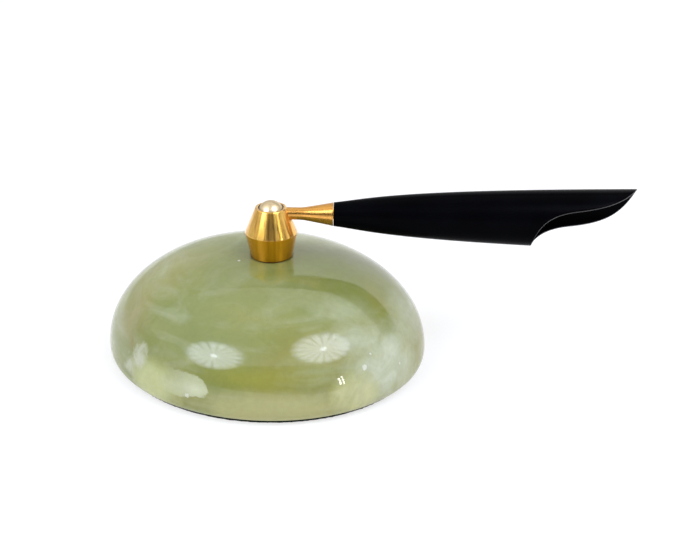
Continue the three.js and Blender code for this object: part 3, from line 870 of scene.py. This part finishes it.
def flared_stem():
    """The stem, from the tail in the ball to the spigot in the trumpet."""
    tail = [(0.0, 0.6), (STEM_TAIL, 0.6, 0.1), (STEM_TAIL, STEM_START)]
    rod = [(STEM_RADIUS, STEM_START, 0.12), (STEM_RADIUS, FLARE_START, 1.6)]
    collar = [
        (FLARE_RADIUS, FLARE_END, 0.05),
        (COLLAR_RADIUS, FLARE_END + 0.1, 0.06),
        (COLLAR_RADIUS, COLLAR_END, 0.12),
    ]
    spigot = [(SPIGOT_RADIUS, COLLAR_END), (SPIGOT_RADIUS, SPIGOT_END, 0.2), (0.0, SPIGOT_END)]
    outline = rounded(tail + rod + collar + spigot)
    return lathe("flared_stem", outline, SMALL_TURNING, matrix=HOLDER)


SCOOP_STEPS = 40
SCOOP_POINTS = [bezier(curve, i / SCOOP_STEPS) for curve in SCOOP for i in range(SCOOP_STEPS)]
SCOOP_POINTS.append(bezier(SCOOP[-1], 1.0))


def scoop_height(along):
    """The scoop edge's height above the trumpet's axis, in side view."""
    previous = SCOOP_POINTS[0]
    for point in SCOOP_POINTS[1:]:
        if along <= point[0]:
            t = (along - previous[0]) / (point[0] - previous[0])
            return previous[1] + t * (point[1] - previous[1])
        previous = point
    return SCOOP_POINTS[-1][1]


def scooped_off(wall, side, t):
    """Whether the scoop removes the wall's point at t, at this angle from the tongue."""
    radius, along = bezier(wall, t)
    return along > SCOOP_POINTS[0][0] and radius * math.cos(side) < scoop_height(along)


def mouth_parameter(wall, side):
    """How far along a wall, from 0 to 1, the scoop cuts it at this angle from the tongue."""
    steps = 400
    for i in range(1, steps + 1):
        if scooped_off(wall, side, i / steps):
            low, high = (i - 1) / steps, i / steps
            for _ in range(30):
                middle = (low + high) / 2
                low, high = (low, middle) if scooped_off(wall, side, middle) else (middle, high)
            return low
    return 1.0


def trumpet_column(side, rows):
    """One line of (radius, distance) from the rear, over the scooped lip and down the bore."""
    outer_end = mouth_parameter(TRUMPET_OUTSIDE, side)
    inner_end = mouth_parameter(TRUMPET_BORE, side)
    outer = [bezier(TRUMPET_OUTSIDE, outer_end * i / rows) for i in range(rows + 1)]
    inner = [bezier(TRUMPET_BORE, inner_end * i / rows) for i in range(rows, -1, -1)]
    over, under = Vector(outer[-1]), Vector(inner[0])
    thickness = (over - under).length
    rounding = min(LIP_ROUNDING, thickness * 0.4)
    before, after = Vector(outer[-2]), Vector(inner[1])
    inward = over + (under - over) * rounding / thickness
    outward = under + (over - under) * rounding / thickness
    lip = bend(over + (before - over).normalized() * rounding, over, inward)
    lip += bend(outward, under, under + (after - under).normalized() * rounding)
    return outer[:-1] + lip + inner[1:]


def trumpet_columns():
    """The trumpet's section at every angle, from the insert's hole round to the bore's floor."""
    rear = [(0.0, INSERT_HOLE_DEPTH), (INSERT_HOLE, INSERT_HOLE_DEPTH), (INSERT_HOLE, 0.0, 0.1)]
    rear = rounded(rear + [(3.75, 0.0, 0.14), (3.8, 0.3)])[:-1]
    columns = []
    for j in range(TRUMPET_SIDES):
        side = 2 * math.pi * j / TRUMPET_SIDES
        line = trumpet_column(side, TRUMPET_ROWS)[1:-1]
        columns.append(rear + line + [TRUMPET_BORE[0]])
    return columns


def black_trumpet():
    """The trumpet, whose columns of points all meet at a rear centre and a floor centre."""
    columns = trumpet_columns()
    vertices = []
    for j, column in enumerate(columns):
        side = 2 * math.pi * j / TRUMPET_SIDES
        vertices += [(-r * math.cos(side), r * math.sin(side), along) for r, along in column[1:]]
    rear_centre = len(vertices)
    floor_centre = rear_centre + 1
    vertices += [(0.0, 0.0, INSERT_HOLE_DEPTH), (0.0, 0.0, TRUMPET_BORE[0][1])]
    lengths = [0.0]
    for a, b in zip(columns[0], columns[0][1:]):
        lengths.append(lengths[-1] + math.dist(a, b))
    rows = len(columns[0]) - 1
    faces, uvs = [], []
    for j in range(TRUMPET_SIDES):
        a, b = j * rows, ((j + 1) % TRUMPET_SIDES) * rows
        u, w = j / TRUMPET_SIDES, (j + 1) / TRUMPET_SIDES
        faces.append((rear_centre, a, b))
        uvs += [(u, lengths[0]), (u, lengths[1]), (w, lengths[1])]
        for i in range(rows - 1):
            faces.append((a + i, a + i + 1, b + i + 1, b + i))
            near, far = lengths[i + 1], lengths[i + 2]
            uvs += [(u, near), (u, far), (w, far), (w, near)]
        faces.append((a + rows - 1, floor_centre, b + rows - 1))
        uvs += [(u, lengths[-1]), (u, lengths[-1]), (w, lengths[-1])]
    return add_piece("black_trumpet", vertices, faces, uvs, TRUMPET, 50.0)


# ---------------------------------------------------------------- assembly
def finish_piece(piece, body, node, material):
    """Gives a piece its material and body, in place of the CAD node that it stands for."""
    piece.data.materials.clear()
    piece.data.materials.append(material)
    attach(piece, body)
    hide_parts(node)


def recolour(nodes, material):
    """Gives CAD nodes that keep their own shape a finished material."""
    for name in nodes:
        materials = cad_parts[name].data.materials
        materials.clear()
        materials.append(material)


studio()

brass = turned_metal(
    "turned_brass", (1.0, 0.60, 0.12), (0.92, 0.47, 0.06), (0.18, 0.24), 0.1, 0.92, lacquer=1.0
)
# The foot's brass is a darker, more orange copy of the cap's: painted shade, for the foot's lower
# cone that faces down towards the stone.
shaded_foot_brass = turned_metal(
    "turned_brass_painted_shade",
    (0.82, 0.40, 0.015),
    (0.68, 0.30, 0.01),
    (0.22, 0.28),
    0.1,
    0.9,
    lacquer=0.4,
    glint_and_wear=0.35,
)
stem_brass = turned_metal(
    "stem_turned_brass", (0.87, 0.45, 0.10), (0.72, 0.32, 0.05), (0.24, 0.32), 0.25, 0.5, lacquer=0.4
)
# Near-black brass for the cap's slot and the inner edge of its mouth: painted shade in the slot and
# in the gap round the ball.
slot_painted_shade = plain_material(
    "brass_painted_shade", (0.012, 0.007, 0.002), (0.04, 0.022, 0.006), 0.6, 0.6, 0.4
)
ball_brass = turned_metal(
    "polished_brass", (0.86, 0.71, 0.46), (0.55, 0.40, 0.20), (0.28, 0.38), 0.2, glint_and_wear=0.5
)
plain_brass = turned_metal(
    "machined_brass", (0.78, 0.55, 0.22), (0.6, 0.38, 0.14), (0.2, 0.3), 0.2, source="Object"
)
zinc = plain_material("zinc_plate", (0.48, 0.49, 0.52), (0.66, 0.67, 0.70), 0.32, 0.3, 0.3, 1.0)
spring_steel = plain_material(
    "spring_steel", (0.30, 0.31, 0.33), (0.46, 0.47, 0.49), 0.28, 0.5, 0.3, 1.0
)
nylon = plain_material("natural_nylon", (0.74, 0.71, 0.60), (0.86, 0.83, 0.74), 0.45, 0.4, 0.3)
red_fibre = plain_material("red_fibre", (0.20, 0.05, 0.03), (0.34, 0.10, 0.07), 0.75, 0.6, 0.8)

dome = onyx_dome()
finish_piece(dome, "base", "stone_base", onyx_material())
felt = felt_disc()
finish_piece(felt, "base", "felt_pad", felt_material())

finish_piece(brass_foot(), "socket", "socket_foot", shaded_foot_brass)
cap = brass_cap()
finish_piece(cap, "socket", "socket_cap", brass)
shade_slot(cap, slot_painted_shade)
finish_piece(polished_ball(), "ball", "pivot_ball", ball_brass)
finish_piece(flared_stem(), "holder", "stem", stem_brass)
finish_piece(black_trumpet(), "holder", "pen_trumpet", trumpet_material())

recolour(["trumpet_insert"], plain_brass)
recolour(["steel_washer", "clamp_nut", "jam_nut", "mounting_stud"], zinc)
recolour(["wave_washer", "tension_spring"], spring_steel)
recolour(["ball_cup"], nylon)
recolour(["foot_gasket", "recess_fibre_washer"], red_fibre)
